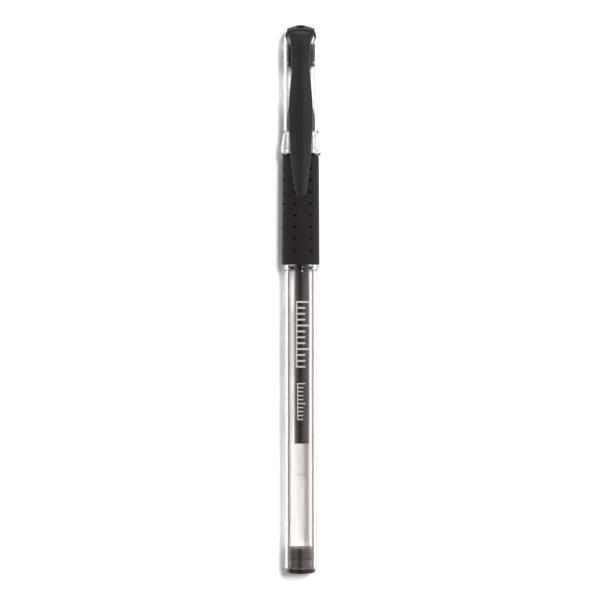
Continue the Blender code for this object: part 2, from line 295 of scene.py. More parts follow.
def blended(tree, factor, a, b):
    """Two colours, each a socket or a value, mixed by a socket."""
    made = tree.nodes.new("ShaderNodeMix")
    made.data_type = "RGBA"
    tree.links.new(factor, made.inputs["Factor"])
    for slot, value in (("A", a), ("B", b)):
        if isinstance(value, (tuple, list)):
            made.inputs[slot].default_value = (*value, 1.0)
        else:
            tree.links.new(value, made.inputs[slot])
    return made.outputs["Result"]


def beyond(tree, radius, soft=0.1):
    """1 where the surface is further than this radius from the pen's axis, in millimetres, and 0 nearer."""
    split = tree.nodes.new("ShaderNodeSeparateXYZ")
    tree.links.new(coordinates(tree, (1.0, 1.0, 0.0)), split.inputs["Vector"])
    total = None
    for axis in "XY":
        square = tree.nodes.new("ShaderNodeMath")
        square.operation = "POWER"
        square.inputs[1].default_value = 2.0
        tree.links.new(split.outputs[axis], square.inputs[0])
        if total is None:
            total = square.outputs["Value"]
        else:
            both = tree.nodes.new("ShaderNodeMath")
            tree.links.new(total, both.inputs[0])
            tree.links.new(square.outputs["Value"], both.inputs[1])
            total = both.outputs["Value"]
    return ranged(tree, total, 0.0, 1.0, (radius - soft) ** 2, (radius + soft) ** 2)


def lets_lamps_through(tree, shader, share, edge_share):
    """Clear plastic passes this share of a lamp's light at each surface, and less where it is edge-on."""
    path = tree.nodes.new("ShaderNodeLightPath")
    through = tree.nodes.new("ShaderNodeBsdfTransparent")
    tint = blended(tree, edge_of(tree, 0.2, 0.6), (share,) * 3, (edge_share,) * 3)
    tree.links.new(tint, through.inputs["Color"])
    either = tree.nodes.new("ShaderNodeMixShader")
    tree.links.new(path.outputs["Is Shadow Ray"], either.inputs["Fac"])
    tree.links.new(shader.outputs["BSDF"], either.inputs[1])
    tree.links.new(through.outputs["BSDF"], either.inputs[2])
    tree.links.new(either.outputs["Shader"], tree.nodes["Material Output"].inputs["Surface"])


def clear_plastic(name, tint, edge, ior, rough, wave, inner=None, bore=4.0, passed=(0.7, 0.3)):
    """Clear moulded plastic with faint flow lines and handling marks, and painted shade where it is
    edge-on.

    Its bore has its own painted edge-on shade, when one is given. Passed is the share of a lamp's light
    that goes through each surface, straight and edge-on."""
    made, tree, shader = nodes_of(name)
    shader.inputs["Transmission Weight"].default_value = 1.0
    shader.inputs["Specular IOR Level"].default_value = 0.3
    shader.inputs["IOR"].default_value = ior
    flow = noise(tree, coordinates(tree, (1.0, 1.0, 0.06)), 0.9, 2.0)
    marks = noise(tree, coordinates(tree, (1.0, 1.0, 0.3)), 6.0, 4.0)
    body = mixed(tree, flow, tint, [min(1.0, t + 0.015) for t in tint])
    # Painted shade: the colour turns to edge where the outer face is edge-on, and to inner where the bore
    # is
    outside = blended(tree, edge_of(tree, 0.46, 0.6), body, edge)
    if inner:
        inside = blended(tree, edge_of(tree, 0.38, 0.52), body, inner)
        outside = blended(tree, beyond(tree, bore), inside, outside)
    tree.links.new(outside, shader.inputs["Base Color"])
    tree.links.new(ranged(tree, marks, rough, rough + 0.04, 0.5, 0.8), shader.inputs["Roughness"])
    bumped(tree, shader, flow, wave)
    lets_lamps_through(tree, shader, *passed)
    return made


def black_plastic(name, base, light, rough, grain, gloss=0.5):
    """Moulded black plastic with a fine spark-eroded grain and faint handling marks."""
    made, tree, shader = nodes_of(name)
    shader.inputs["IOR"].default_value = 1.5
    shader.inputs["Specular IOR Level"].default_value = gloss
    place = coordinates(tree)
    cloud = noise(tree, place, 0.5, 4.0)
    fine = noise(tree, place, 9.0, 3.0)
    rubbed = noise(tree, coordinates(tree, (1.0, 1.0, 0.15)), 2.5, 5.0)
    tree.links.new(mixed(tree, cloud, base, light), shader.inputs["Base Color"])
    tree.links.new(ranged(tree, rubbed, rough - 0.06, rough + 0.1, 0.3, 0.75), shader.inputs["Roughness"])
    bumped(tree, shader, fine, grain)
    return made


def rubber(name):
    """Soft dark rubber: a matt skin with a very fine grain, a little dust and painted shade in its dimples,
    ends and bore.
    """
    made, tree, shader = nodes_of(name)
    shader.inputs["IOR"].default_value = 1.45
    shader.inputs["Specular IOR Level"].default_value = 0.12
    place = coordinates(tree)
    cloud = noise(tree, coordinates(tree, (1.0, 1.0, 0.35)), 0.45, 4.0)
    fine = noise(tree, place, 14.0, 4.0)
    dust = noise(tree, place, 5.0, 6.0, 0.7)
    skin = mixed(tree, cloud, (0.0125, 0.0102, 0.0095), (0.0175, 0.0145, 0.0135))
    # Painted shade: nearer the axis than 4.86 mm, in the dimples, at the ends and in the bore, the skin is
    # near black
    colour = blended(tree, beyond(tree, 4.86, 0.06), (0.002, 0.0018, 0.0018), skin)
    dusty = blended(tree, ranged(tree, dust, 0.0, 0.35, 0.62, 0.85), colour, (0.05, 0.043, 0.039))
    tree.links.new(dusty, shader.inputs["Base Color"])
    tree.links.new(ranged(tree, fine, 0.48, 0.68, 0.3, 0.7), shader.inputs["Roughness"])
    bumped(tree, shader, fine, 0.012)
    return made


# The heights of the plug's groove and of its ring's upper edge, in millimetres, where bands of painted
# shade go.
PLUG_SHADE_BANDS = ((3.75, 4.25), (5.3, 5.55))


def smoke_plastic(name):
    """Translucent smoke-brown plastic, darker at its flange, with painted shade where it is edge-on and in
    bands at its groove and its ring's upper edge.
    """
    made, tree, shader = nodes_of(name)
    shader.inputs["Transmission Weight"].default_value = 0.985
    shader.inputs["IOR"].default_value = 1.5
    swirl = noise(tree, coordinates(tree, (1.0, 1.0, 0.5)), 0.8, 3.0)
    marks = noise(tree, coordinates(tree), 5.0, 4.0)
    body = mixed(tree, swirl, (0.36, 0.285, 0.255), (0.46, 0.375, 0.34))
    # Painted shade: dark where the surface is edge-on
    walls = blended(tree, edge_of(tree, 0.33, 0.6), body, (0.02, 0.014, 0.012))
    height = tree.nodes.new("ShaderNodeSeparateXYZ")
    tree.links.new(coordinates(tree), height.inputs["Vector"])
    flange = ranged(tree, height.outputs["Z"], 1.0, 0.0, 1.05, 1.2)
    # Painted shade: near-black bands at the groove and at the ring's upper edge
    for low, high in PLUG_SHADE_BANDS:
        below = ranged(tree, height.outputs["Z"], 0.0, 1.0, low - 0.1, low)
        above = ranged(tree, height.outputs["Z"], 1.0, 0.0, high, high + 0.1)
        groove = tree.nodes.new("ShaderNodeMath")
        groove.operation = "MULTIPLY"
        tree.links.new(below, groove.inputs[0])
        tree.links.new(above, groove.inputs[1])
        walls = blended(tree, groove.outputs["Value"], walls, (0.006, 0.004, 0.004))
    tree.links.new(blended(tree, flange, walls, (0.05, 0.038, 0.034)), shader.inputs["Base Color"])
    tree.links.new(ranged(tree, marks, 0.05, 0.14, 0.4, 0.8), shader.inputs["Roughness"])
    bumped(tree, shader, swirl, 0.01)
    return made


def refill_plastic(name):
    """Clear tube of the refill, drawn as so thin a skin that it hardly bends light."""
    made, tree, shader = nodes_of(name)
    shader.inputs["Transmission Weight"].default_value = 1.0
    shader.inputs["IOR"].default_value = 1.05
    flow = noise(tree, coordinates(tree, (1.0, 1.0, 0.08)), 1.2, 3.0)
    body = mixed(tree, flow, (0.93, 0.925, 0.91), (0.97, 0.965, 0.955))
    tree.links.new(body, shader.inputs["Base Color"])
    tree.links.new(ranged(tree, flow, 0.05, 0.12, 0.3, 0.7), shader.inputs["Roughness"])
    bumped(tree, shader, flow, 0.006)
    lets_lamps_through(tree, shader, 0.99, 0.85)
    return made


def ink(name):
    """Black gel ink against the tube's wall, whose milky plastic pales it towards its sides."""
    made, tree, shader = nodes_of(name)
    shader.inputs["IOR"].default_value = 1.4
    shader.inputs["Specular IOR Level"].default_value = 0.12
    shader.inputs["Sheen Weight"].default_value = 0.9
    shader.inputs["Sheen Roughness"].default_value = 0.45
    shader.inputs["Sheen Tint"].default_value = (1.0, 0.86, 0.80, 1.0)
    film = noise(tree, coordinates(tree, (1.0, 1.0, 0.1)), 1.6, 3.0)
    body = mixed(tree, film, (0.004, 0.0035, 0.004), (0.009, 0.0075, 0.0075))
    tree.links.new(body, shader.inputs["Base Color"])
    tree.links.new(ranged(tree, film, 0.08, 0.2, 0.3, 0.7), shader.inputs["Roughness"])
    return made


def turned_metal(name, base, dark):
    """Metal turned on a lathe, with fine rings round the axis."""
    made, tree, shader = nodes_of(name)
    shader.inputs["Metallic"].default_value = 1.0
    rings = noise(tree, coordinates(tree, (0.05, 0.05, 1.0)), 30.0, 2.0)
    tree.links.new(mixed(tree, rings, base, dark), shader.inputs["Base Color"])
    tree.links.new(ranged(tree, rings, 0.18, 0.34), shader.inputs["Roughness"])
    bumped(tree, shader, rings, 0.003)
    return made


def plain_plastic(name, base, light, rough):
    made, tree, shader = nodes_of(name)
    cloud = noise(tree, coordinates(tree), 0.9, 4.0)
    fine = noise(tree, coordinates(tree), 10.0, 3.0)
    tree.links.new(mixed(tree, cloud, base, light), shader.inputs["Base Color"])
    tree.links.new(ranged(tree, fine, rough - 0.08, rough + 0.08), shader.inputs["Roughness"])
    bumped(tree, shader, fine, 0.004)
    return made


def place(obj, body, slot, surface, *nodes):
    """Gives a piece its material and body, and hides the CAD nodes that it stands for. The slot is not
    used.
    """
    obj.data.materials.clear()
    obj.data.materials.append(surface)
    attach(obj, body)
    if nodes:
        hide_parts(*nodes)
    return obj


barrel_low, barrel_high, barrel_reach = span("barrel")
grip_low, grip_high, grip_reach = span("grip")
plug_low, plug_high, plug_reach = span("tail_plug")
nose_low, nose_high, nose_reach = span("nose_cone")
tube_low, tube_high, tube_reach = span("refill_tube")
ink_low, ink_high = span("ink_column")[:2]
grease_low, grease_high, grease_reach = span("ink_follower")
cap_low, cap_high, cap_reach = span("cap_tube")
inner_low, inner_high, inner_reach = span("inner_cap")
tip_low, tip_high, tip_reach = span("writing_tip")
holder_low, holder_high, holder_reach = span("tip_holder")
seal_low, seal_high, seal_reach = span("tip_seal")
crown_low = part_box("cap_crown")[0]

BARREL_R = barrel_reach - 0.45
BORE_R = BARREL_R - 0.88
# The bore narrows from BORE_R to FRONT_BORE_R above this height, under the grip.
NARROWING, FRONT_BORE_R = 104.0, 2.95

# The edge and inner colours below are painted shade for walls seen edge-on
clear_body = clear_plastic(
    "clear barrel plastic",
    tint=(0.90, 0.882, 0.872),
    edge=(0.46, 0.435, 0.42),
    ior=1.5,
    rough=0.01,
    wave=0.004,
    inner=(0.03, 0.018, 0.015),
    passed=(0.72, 0.3),
)
clear_cap = clear_plastic(
    "clear cap plastic",
    tint=(0.93, 0.912, 0.905),
    edge=(0.75, 0.72, 0.71),
    ior=1.3,
    rough=0.01,
    wave=0.003,
    inner=(0.55, 0.5, 0.48),
    bore=4.2,
)

# Barrel: collar and rings at the front, seat for the grip, shoulder under it, long clear tube
FRONT = barrel_high
barrel = turned(
    "barrel_clear",
    [
        (3.4, FRONT, 0.1),
        (4.16, FRONT, 0.12),
        (4.25, FRONT - 0.35, 0.2),
        (4.25, FRONT - 1.0, 0.12),
        (4.13, FRONT - 1.2, 0.1),
        (4.13, grip_high + 1.6, 0.12),
        (4.66, grip_high + 1.45, 0.12),
        (4.68, grip_high + 0.45, 0.15),
        (4.12, grip_high + 0.25, 0.1),
        (4.12, grip_low - 0.1, 0.06),
        (4.86, grip_low - 0.1, 0.14),
        (4.95, grip_low - 0.5, 0.3),
        (4.8, grip_low - 1.05, 0.4),
        (4.55, grip_low - 1.45, 0.5),
        (BARREL_R, grip_low - 1.9, 0.5),
        (BARREL_R, barrel_low, 0.22),
        (BORE_R + 0.08, barrel_low, 0.1),
        (BORE_R + 0.06, barrel_low + 6.4, 0.4),
        (BORE_R, barrel_low + 7.0, 0.4),
        (BORE_R, NARROWING, 0.6),
        (FRONT_BORE_R, NARROWING + 2.0, 0.6),
        (FRONT_BORE_R, grip_high - 0.3, 0.1),
        (3.4, grip_high + 0.2, 0.1),
    ],
)
place(barrel, "pen_body", "clear_barrel", clear_body, "barrel")

# Printing on the barrel: an ink gauge of plain rules and ticks
PRINT_INNER, PRINT_OUTER = BARREL_R - 0.004, BARREL_R + 0.012
# Each gauge: top, bottom, rule's left edge and width, tick length, long tick length, pitch, tick width,
# and how many ticks there are to a long one
GAUGES = (
    (74.0, 56.0, -1.3, 0.34, 2.2, 3.4, 1.5, 0.46, 4),
    (51.8, 41.8, -0.95, 0.26, 1.35, 1.95, 1.0, 0.3, 5),
    (26.6, 16.4, -0.9, 0.12, 1.0, 1.7, 0.85, 0.14, 6),
)


def strips():
    """(left, right, bottom, top) of every rule and tick, in millimetres on the barrel's front."""
    found = []
    for top, bottom, left, rule, tick, longer, pitch, width, every in GAUGES:
        found.append((left, left + rule, bottom, top))
        count = int((top - bottom - width) / pitch) + 1
        for k in range(count):
            z = top - k * (top - bottom - width) / (count - 1)
            reach = longer if k % every == 0 else tick
            found.append((left + rule, left + rule + reach, z - width, z))
    return found


def printed_mesh():
    """Thin closed strips that follow the barrel's curve."""
    verts, faces = [], []
    for left, right, bottom, top in strips():
        turns = np.linspace(math.asin(left / BARREL_R), math.asin(right / BARREL_R), 7)
        first = len(verts)
        section = ((PRINT_INNER, bottom), (PRINT_OUTER, bottom), (PRINT_OUTER, top), (PRINT_INNER, top))
        for t in turns:
            for r, z in section:
                verts.append((r * math.sin(t) * MM, -r * math.cos(t) * MM, z * MM))
        last = first + 4 * (len(turns) - 1)
        for a in range(first, last, 4):
            for k in range(4):
                j = (k + 1) % 4
                faces.append((a + k, a + j, a + 4 + j, a + 4 + k))
        faces.append((first, first + 1, first + 2, first + 3))
        faces.append((last, last + 1, last + 2, last + 3))
    return finished("barrel_printing", verts, faces)


def printing_ink(name):
    """Thin pale printing ink, slightly worn."""
    made, tree, shader = nodes_of(name)
    worn = noise(tree, coordinates(tree), 3.0, 4.0)
    tree.links.new(mixed(tree, worn, (0.37, 0.36, 0.35), (0.44, 0.43, 0.42)), shader.inputs["Base Color"])
    tree.links.new(ranged(tree, worn, 0.35, 0.55), shader.inputs["Roughness"])
    bumped(tree, shader, worn, 0.002)
    return made


place(printed_mesh(), "pen_body", "natural_plastic", printing_ink("printing ink"))

# Grip: a sleeve with rows of round dimples
DIMPLE_ANGLE = math.radians(32.0)
DIMPLE_COLUMNS, DIMPLE_ROWS = 7, 8
DIMPLE_FIRST, DIMPLE_PITCH, DIMPLE_R, DIMPLE_DEPTH = grip_low + 3.75, 3.18, 0.47, 0.34
GRIP_BORE, GRIP_TOP_R = 4.2, 4.98


def grip_mesh():
    """The outer face is a grid that is finer where the dimples are, and each dimple is pressed into it."""
    sector = math.tau / DIMPLE_COLUMNS
    offsets = [math.radians(a) for a in np.linspace(-7.0, 7.0, 15)]
    offsets += [math.radians(a) for a in np.linspace(7.0, 360 / DIMPLE_COLUMNS - 7.0, 10)[1:-1]]
    angles = [DIMPLE_ANGLE + k * sector + a for k in range(DIMPLE_COLUMNS) for a in offsets]
    heights = [grip_low + 0.14]
    for row in range(DIMPLE_ROWS):
        middle = DIMPLE_FIRST + row * DIMPLE_PITCH
        heights += [middle + d for d in np.linspace(-0.62, 0.62, 13)]
    heights += [grip_high - 1.3, grip_high - 1.0]
    heights += list(np.linspace(grip_low + 0.3, DIMPLE_FIRST - 0.8, 5))
    dimple_last = DIMPLE_FIRST + (DIMPLE_ROWS - 1) * DIMPLE_PITCH
    heights += list(np.linspace(dimple_last + 0.8, grip_high - 1.6, 4))
    heights = sorted(set(round(h, 4) for h in heights), reverse=True)

    def side(z):
        share = (z - grip_low) / (grip_high - grip_low)
        return grip_reach - share * (grip_reach - GRIP_TOP_R)

    profile = []
    for k in range(9):
        t = math.pi / 2 * k / 8
        profile.append((side(grip_high) - 0.85 * (1 - math.sin(t)), grip_high - 0.75 * (1 - math.cos(t))))
    profile = [(GRIP_BORE, grip_high)] + profile
    profile += [(side(z), z) for z in heights if z < grip_high - 0.85]
    for k in range(1, 6):
        t = math.pi / 2 * k / 5
        profile.append((side(grip_low) - 0.12 * (1 - math.cos(t)), grip_low + 0.12 * (1 - math.sin(t))))
    profile += [(GRIP_BORE, grip_low)]
    verts = []
    for r, z in profile:
        for t in angles:
            pressed = 0.0
            if r > 4.6 and grip_low + 2 < z < grip_high - 2:
                row = round((z - DIMPLE_FIRST) / DIMPLE_PITCH)
                dz = z - DIMPLE_FIRST - row * DIMPLE_PITCH
                turn = (t - DIMPLE_ANGLE + sector / 2) % sector - sector / 2
                far = math.hypot(dz, turn * r) / DIMPLE_R
                if 0 <= row < DIMPLE_ROWS and far < 1:
                    pressed = DIMPLE_DEPTH * (1 - far**4)
            x, y = (r - pressed) * math.sin(t), -(r - pressed) * math.cos(t)
            verts.append((x * MM, y * MM, z * MM))
    around = len(angles)
    faces = []
    rings = len(profile)
    for i in range(rings):
        n = (i + 1) % rings
        for k in range(around):
            j = (k + 1) % around
            faces.append((i * around + k, i * around + j, n * around + j, n * around + k))
    return finished("grip_rubber", verts, faces, sharp=60)


place(grip_mesh(), "pen_body", "grip_rubber", rubber("grip rubber"), "grip")

# Tail plug
PLUG_BORE, PLUG_FLOOR = 2.7, plug_low + 1.6
plug = turned(
    "tail_plug_smoke",
    [
        (0.0, PLUG_FLOOR),
        (PLUG_BORE, PLUG_FLOOR, 0.25),
        (PLUG_BORE, plug_high, 0.1),
        (3.38, plug_high, 0.12),
        (3.4, plug_low + 5.4, 0.1),
        (3.65, plug_low + 5.1, 0.15),
        (3.65, plug_low + 4.35, 0.12),
        (3.2, plug_low + 4.15, 0.06),
        (3.2, plug_low + 3.85, 0.06),
        (3.54, plug_low + 3.7, 0.1),
        (3.54, plug_low + 1.1, 0.08),
        (plug_reach, plug_low + 1.08, 0.14),
        (plug_reach, plug_low, 0.2),
        (0.0, plug_low),
    ],
    closed=False,
)
place(plug, "pen_body", "smoke_plug", smoke_plastic("smoke plastic"), "tail_plug")

# Nose cone with its threaded spigot
THREAD_ROOT, THREAD_CREST, THREAD_RINGS, THREAD_PITCH = 2.64, 2.84, 6, 0.65
SPIGOT_BORE, NOSE_MOUTH = 2.32, 1.28
thread = []
for i in reversed(range(THREAD_RINGS)):
    z = nose_low + 0.95 + i * THREAD_PITCH
    thread += [
        (THREAD_ROOT, z + 0.26, 0.06),
        (THREAD_CREST, z + 0.05, 0.05),
        (THREAD_CREST, z - 0.05, 0.05),
        (THREAD_ROOT, z - 0.26, 0.06),
    ]
nose = turned(
    "nose_cone_black",
    [
        (NOSE_MOUTH, nose_high, 0.05),
        (1.5, nose_high, 0.12),
        (1.85, nose_high - 1.8, 2.0),
        (2.46, nose_high - 4.4, 3.0),
        (3.13, nose_high - 6.9, 3.0),
        (3.76, nose_high - 9.2, 3.0),
        (nose_reach, nose_high - 11.0, 2.5),
        (nose_reach, nose_high - 14.0, 0.12),
        (THREAD_ROOT, nose_high - 14.0, 0.1),
        *thread,
        (THREAD_ROOT, nose_low, 0.12),
        (SPIGOT_BORE, nose_low, 0.08),
        (SPIGOT_BORE, nose_high - 8.7, 0.1),
        (1.8, nose_high - 8.1, 0.1),
        (1.8, nose_high - 3.4, 0.1),
        (NOSE_MOUTH, nose_high - 2.8, 0.1),
    ],
    CORE,
)
gloss_black = black_plastic(
    "gloss black plastic",
    base=(0.0035, 0.0035, 0.0038),
    light=(0.008, 0.0075, 0.0075),
    rough=0.45,
    grain=0.002,
    gloss=0.04,
)
place(nose, "nose", "black_gloss", gloss_black, "nose_cone")

# Refill, which rests a little to one side in the wide barrel
SIDEWAYS = 0.28
BEND_TOP, BEND_LENGTH = holder_high - 8.0, 34.0


def lean(z):
    """Sideways offset of the refill: none at the nose, then a gentle bend to its resting line."""
    share = max(0.0, min(1.0, (BEND_TOP - z) / BEND_LENGTH))
    return SIDEWAYS * share * share * (3 - 2 * share)


def lengthened(top, bottom, radius, step=1.5):
    """Heights from top to bottom at one radius, close enough to follow the bend."""
    count = max(1, int((top - bottom) / step))
    return [(radius, top + (bottom - top) * k / count) for k in range(count + 1)]


# The tube's wall makes the ink in it look as wide as the tube, so the ink is drawn out to a thin skin
TUBE_BORE = tube_reach - 0.06
INK_R = TUBE_BORE - 0.04

refill = turned(
    "refill_tube_clear",
    lengthened(tube_high, tube_low, tube_reach) + lengthened(tube_low, tube_high, TUBE_BORE),
    CORE,
    lean=lean,
)
place(refill, "pen_body", "refill_plastic", refill_plastic("refill plastic"), "refill_tube")
refill.visible_shadow = False  # so thin and clear that its shadow can't be seen

column = turned(
    "ink_black",
    [(0.0, ink_high), *lengthened(ink_high, ink_low, INK_R), (0.0, ink_low)],
    CORE,
    closed=False,
    lean=lean,
)
place(column, "pen_body", "ink", ink("black ink"), "ink_column")
column.visible_shadow = False  # left out, as the light on the board behind the clear barrel is even
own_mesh(column)

grease = turned(
    "ink_follower_grease",
    [
        (0.0, grease_high),
        (grease_reach, grease_high, 0.05),
        (grease_reach, grease_low + 0.3, 0.1),
        (grease_reach - 0.25, grease_low, 0.15),
        (0.9, grease_low + 0.22, 0.4),
        (0.0, grease_low + 0.36),
    ],
    CORE,
    closed=False,
    centre=(SIDEWAYS, 0.0),
)
grease_look = clear_plastic(
    "clear grease",
    tint=(0.99, 0.985, 0.98),
    edge=(0.96, 0.95, 0.93),
    ior=1.02,
    rough=0.03,
    wave=0.004,
    passed=(0.99, 0.95),
)
place(grease, "ink_end", "grease", grease_look, "ink_follower")
grease.visible_shadow = False

# Tip: holder, metal tip and ball
HOLDER_STEP, TIP_STEP = 125.4, 130.75
holder = turned(
    "tip_holder_natural",
    [
        (0.97, holder_high, 0.05),
        (1.6, holder_high, 0.15),
        (1.66, holder_high - 4.5, 0.1),
        (holder_reach, HOLDER_STEP, 0.12),
        (holder_reach, tube_high + 0.1, 0.08),
        (1.64, tube_high + 0.1, 0.05),
        (1.64, holder_low, 0.15),
        (0.55, holder_low, 0.1),
        (0.55, tip_low - 0.2, 0.05),
        (0.97, tip_low - 0.2, 0.05),
    ],
    CORE,
)
natural = plain_plastic("natural plastic", (0.58, 0.58, 0.54), (0.68, 0.67, 0.63), 0.4)
place(holder, "pen_body", "natural_plastic", natural, "tip_holder")

tip = turned(
    "writing_tip_metal",
    [
        (0.38, tip_high, 0.01),
        (0.44, tip_high, 0.03),
        (0.58, tip_high - 0.7, 0.3),
        (0.92, tip_high - 2.5, 0.5),
        (tip_reach, tip_high - 3.95, 0.3),
        (tip_reach, TIP_STEP, 0.08),
        (0.9, TIP_STEP - 0.05, 0.05),
        (0.9, tip_low, 0.1),
        (0.3, tip_low, 0.05),
        (0.3, tip_high - 1.5, 0.05),
        (0.2, tip_high - 1.2, 0.03),
        (0.2, tip_high - 0.55, 0.02),
        (0.38, tip_high - 0.4, 0.03),
    ],
    CORE,
)
metal = turned_metal("nickel silver", (0.66, 0.63, 0.58), (0.5, 0.48, 0.44))
place(tip, "pen_body", "tip_metal", metal, "writing_tip")

ball_low, ball_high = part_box("ball")
ball_r = (ball_high.z - ball_low.z) / 2 / MM
ball_z = (ball_high.z + ball_low.z) / 2 / MM
half_turn = [(ball_r * math.sin(t), ball_z + ball_r * math.cos(t)) for t in np.linspace(0, math.pi, 33)]
ball = turned("ball_carbide", half_turn, 48, closed=False)
carbide = turned_metal("carbide", (0.5, 0.5, 0.52), (0.42, 0.42, 0.44))
place(ball, "writing_ball", "ball_metal", carbide, "ball")

# Cap tube with its flared mouth and the notch for the clip
CAP_R, CAP_BORE = 4.85, 4.08
tube = turned(
    "cap_tube_clear",
    [
        (2.97, cap_high, 0.06),
        (3.72, cap_high, 0.12),
        (4.3, cap_high - 0.85, 0.7),
        (4.64, cap_high - 1.75, 0.9),
        (4.81, cap_high - 2.6, 1.0),
        (CAP_R, cap_high - 3.4, 1.0),
        (CAP_R, cap_low + 6.6, 3.0),
        (4.94, cap_low + 5.5, 2.0),
        (5.12, cap_low + 4.2, 2.0),
        (5.38, cap_low + 2.6, 2.0),
        (cap_reach - 0.03, cap_low + 1.6, 1.0),
        (cap_reach, cap_low + 1.0, 0.5),
        (5.5, cap_low + 0.4, 0.3),
        (5.3, cap_low, 0.15),
        (5.06, cap_low, 0.12),
        (4.93, cap_low + 0.5, 0.3),
        (4.86, cap_low + 1.9, 0.8),
        (4.66, cap_low + 3.8, 1.5),
        (4.5, cap_low + 5.2, 1.0),
        (4.42, cap_low + 5.8, 0.4),
        (4.2, cap_low + 6.6, 0.4),
        (4.12, cap_low + 7.3, 0.4),
        (CAP_BORE, cap_low + 8.2, 0.8),
        (CAP_BORE, cap_high - 3.0, 1.0),
        (3.95, cap_high - 2.1, 0.8),
        (3.6, cap_high - 1.25, 0.8),
        (3.2, cap_high - 0.75, 0.3),
        (2.97, cap_high - 0.65, 0.06),
    ],
)

# The notch, seen from the front, and how far from front to back its cutter reaches
NOTCH = ((-3.9, 150.5), (-3.9, 145.95), (-3.0, 143.3), (3.0, 143.3), (3.9, 145.95), (3.9, 150.5))
NOTCH_BACK, NOTCH_FRONT = -1.2, -7.0
cut(tube, lofted("notch", [[(x, y, z) for x, z in NOTCH] for y in (NOTCH_BACK, NOTCH_FRONT)]))
place(tube, "cap", "clear_cap", clear_cap, "cap_tube")

# Crown and clip: one smooth shape in two pieces that part at the clip's root
EDGE = 0.42


def half_outline(half_width, depth, crowning):
    """Half a section from the middle of its outer face: (across, inwards), with round edges."""
    edge = min(EDGE, 0.5 * half_width, 0.62 * depth)
    lower = min(0.5 * edge, 0.8 * (depth - edge))
    face = half_width - edge
    points = []
    for k in range(8):
        u = k / 8
        points.append((u * face, -crowning * (1 - u * u)))
    for k in range(7):
        t = math.pi / 2 * k / 6
        points.append((face + edge * math.sin(t), edge * (1 - math.cos(t))))
    for k in range(5):
        t = math.pi / 2 * k / 4
        points.append((half_width - lower * (1 - math.cos(t)), depth - lower * (1 - math.sin(t))))
    points.append((0.5 * (half_width - lower), depth))
    return points


def section_ring(outer, inner, half_width, crowning):
    depth = math.hypot(outer[0] - inner[0], outer[1] - inner[1])
    inwards = ((inner[0] - outer[0]) / depth, (inner[1] - outer[1]) / depth)
    half = half_outline(half_width, depth, crowning)
    ring = [(x, outer[0] + d * inwards[0], outer[1] + d * inwards[1]) for x, d in half]
    middle = (0.0, outer[0] + depth * inwards[0], outer[1] + depth * inwards[1])
    ring.append(middle)
    ring += [(-x, outer[0] + d * inwards[0], outer[1] + d * inwards[1]) for x, d in half[:0:-1]]
    return ring


# Clip sections, root to tip: height and reach of the outer face, the same of the inner face, half width.
# The last number is the crowning of the outer face, which is rounder still by ARCH. That arch grows over
# ARCH_RUN below the root, and fades where the clip is narrower than ARCH_HALF_WIDTH to each side.
ARCH, ARCH_RUN, ARCH_HALF_WIDTH = 0.22, 8.0, 2.4
CLIP_ROWS = (
    (146.97, 2.98, 146.00, 2.98, 3.60, 0.27),
    (146.45, 3.42, 145.50, 3.05, 3.37, 0.25),
    (145.88, 3.90, 145.00, 3.30, 3.18, 0.23),
    (145.15, 4.50, 144.40, 3.75, 3.00, 0.21),
    (144.40, 5.12, 143.90, 4.35, 2.88, 0.19),
    (143.62, 5.74, 143.45, 5.00, 2.79, 0.17),
    (142.80, 6.28, 142.80, 5.32, 2.71, 0.15),
    (141.90, 6.70, 142.00, 5.60, 2.63, 0.13),
    (140.90, 7.03, 141.00, 5.88, 2.56, 0.12),
    (139.80, 7.29, 139.80, 6.12, 2.51, 0.11),
    (138.20, 7.52, 138.20, 6.29, 2.48, 0.10),
    (136.20, 7.66, 136.20, 6.34, 2.50, 0.10),
    (134.40, 7.69, 134.40, 6.37, 2.64, 0.11),
    (131.70, 7.72, 131.70, 6.40, 2.85, 0.11),
    (129.80, 7.73, 129.80, 6.41, 3.03, 0.12),
    (127.60, 7.74, 127.60, 6.42, 3.18, 0.13),
    (124.80, 7.74, 124.80, 6.42, 3.25, 0.13),
    (122.10, 7.74, 122.10, 6.42, 3.24, 0.13),
    (119.40, 7.73, 119.40, 6.42, 3.11, 0.12),
    (116.60, 7.71, 116.60, 6.41, 2.92, 0.12),
    (113.10, 7.67, 113.10, 6.38, 2.70, 0.11),
    (111.20, 7.63, 111.20, 6.34, 2.46, 0.10),
    (109.30, 7.58, 109.30, 6.28, 2.20, 0.09),
    (107.50, 7.50, 107.50, 6.10, 1.98, 0.08),
    (106.40, 7.45, 106.40, 5.42, 1.83, 0.07),
    (104.80, 7.36, 104.80, 5.38, 1.62, 0.06),
    (103.70, 7.26, 103.90, 5.95, 1.44, 0.05),
    (102.90, 7.13, 103.00, 6.20, 1.20, 0.03),
    (102.30, 7.00, 102.40, 6.30, 0.86, 0.02),
    (102.05, 6.92, 102.10, 6.40, 0.52, 0.02),
)
rings = []
for oz, oy, iz, iy, half_width, crowning in smooth_rows(CLIP_ROWS, 5):
    arch = ARCH * min(1.0, (CLIP_ROWS[0][0] - oz) / ARCH_RUN)
    arch *= min(1.0, (half_width / ARCH_HALF_WIDTH) ** 2)
    rings.append(section_ring((arch - oy, oz), (-iy, iz), half_width, crowning + arch))
clip = lofted("clip_black", rings)
SATIN, SATIN_WORN = (0.0125, 0.0135, 0.0138), (0.0165, 0.0172, 0.0172)
satin_black = black_plastic("satin black plastic", SATIN, SATIN_WORN, rough=0.16, grain=0.002, gloss=0.42)
crown_black = black_plastic("crown black plastic", SATIN, SATIN_WORN, rough=0.28, grain=0.002, gloss=0.12)
place(clip, "cap_clip", "black_gloss", satin_black, "clip")
clip.visible_shadow = False  # its soft shadow on the clear cap is left out, as the light there is even

